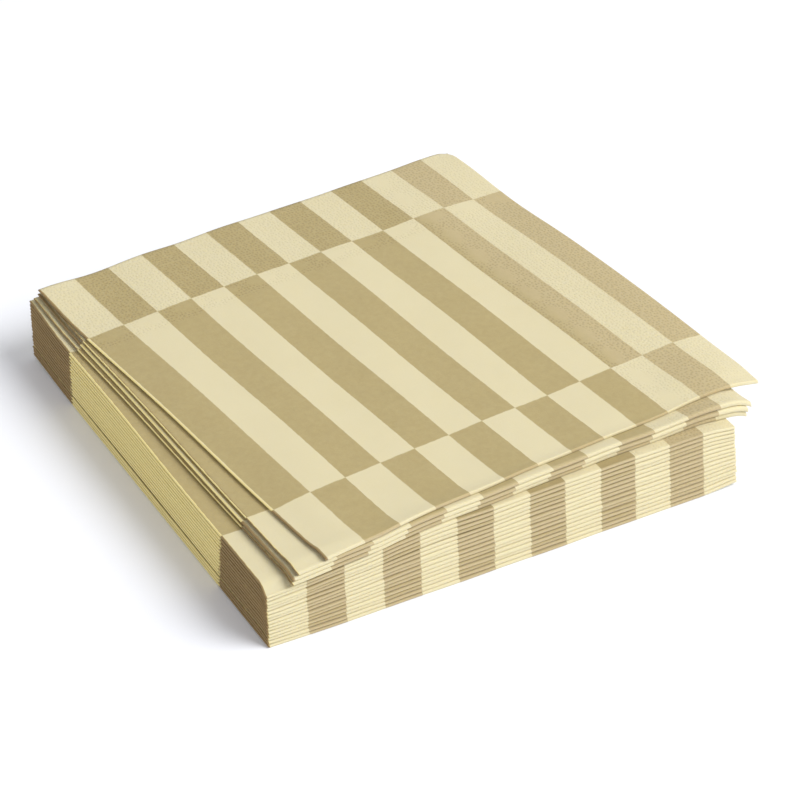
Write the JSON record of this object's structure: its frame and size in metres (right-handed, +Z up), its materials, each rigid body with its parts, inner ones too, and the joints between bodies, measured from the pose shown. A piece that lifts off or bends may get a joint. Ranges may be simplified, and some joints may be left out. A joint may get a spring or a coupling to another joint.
{
  "type": "stack of paper napkins",
  "caption": "Stack of square folded paper napkins in cream and tan stripes that swap over at the bands, squared up below and fanned on top, for the table.",
  "frame": {"origin": "centre of the squared stack's underside", "axes": "+Z up through the stack; -Y is the side with the nested folds, -X the side with the first folds, and the cut edges are at +X and +Y"},
  "size_m": [0.1832, 0.1803, 0.0266],
  "materials": {
    "tissue": "soft matt three-ply tissue, printed in cream and tan stripes, embossed along its cut edges"
  },
  "bodies": {
    "root": {"napkin_01": "tissue", "napkin_02": "tissue", "napkin_03": "tissue", "napkin_04": "tissue", "napkin_05": "tissue", "napkin_06": "tissue", "napkin_07": "tissue", "napkin_08": "tissue", "napkin_09": "tissue", "napkin_10": "tissue", "napkin_11": "tissue", "napkin_12": "tissue", "napkin_13": "tissue", "napkin_14": "tissue", "napkin_15": "tissue", "napkin_16": "tissue", "napkin_17": "tissue", "napkin_18": "tissue", "napkin_19": "tissue", "napkin_20": "tissue"}
  },
  "joints": []
}
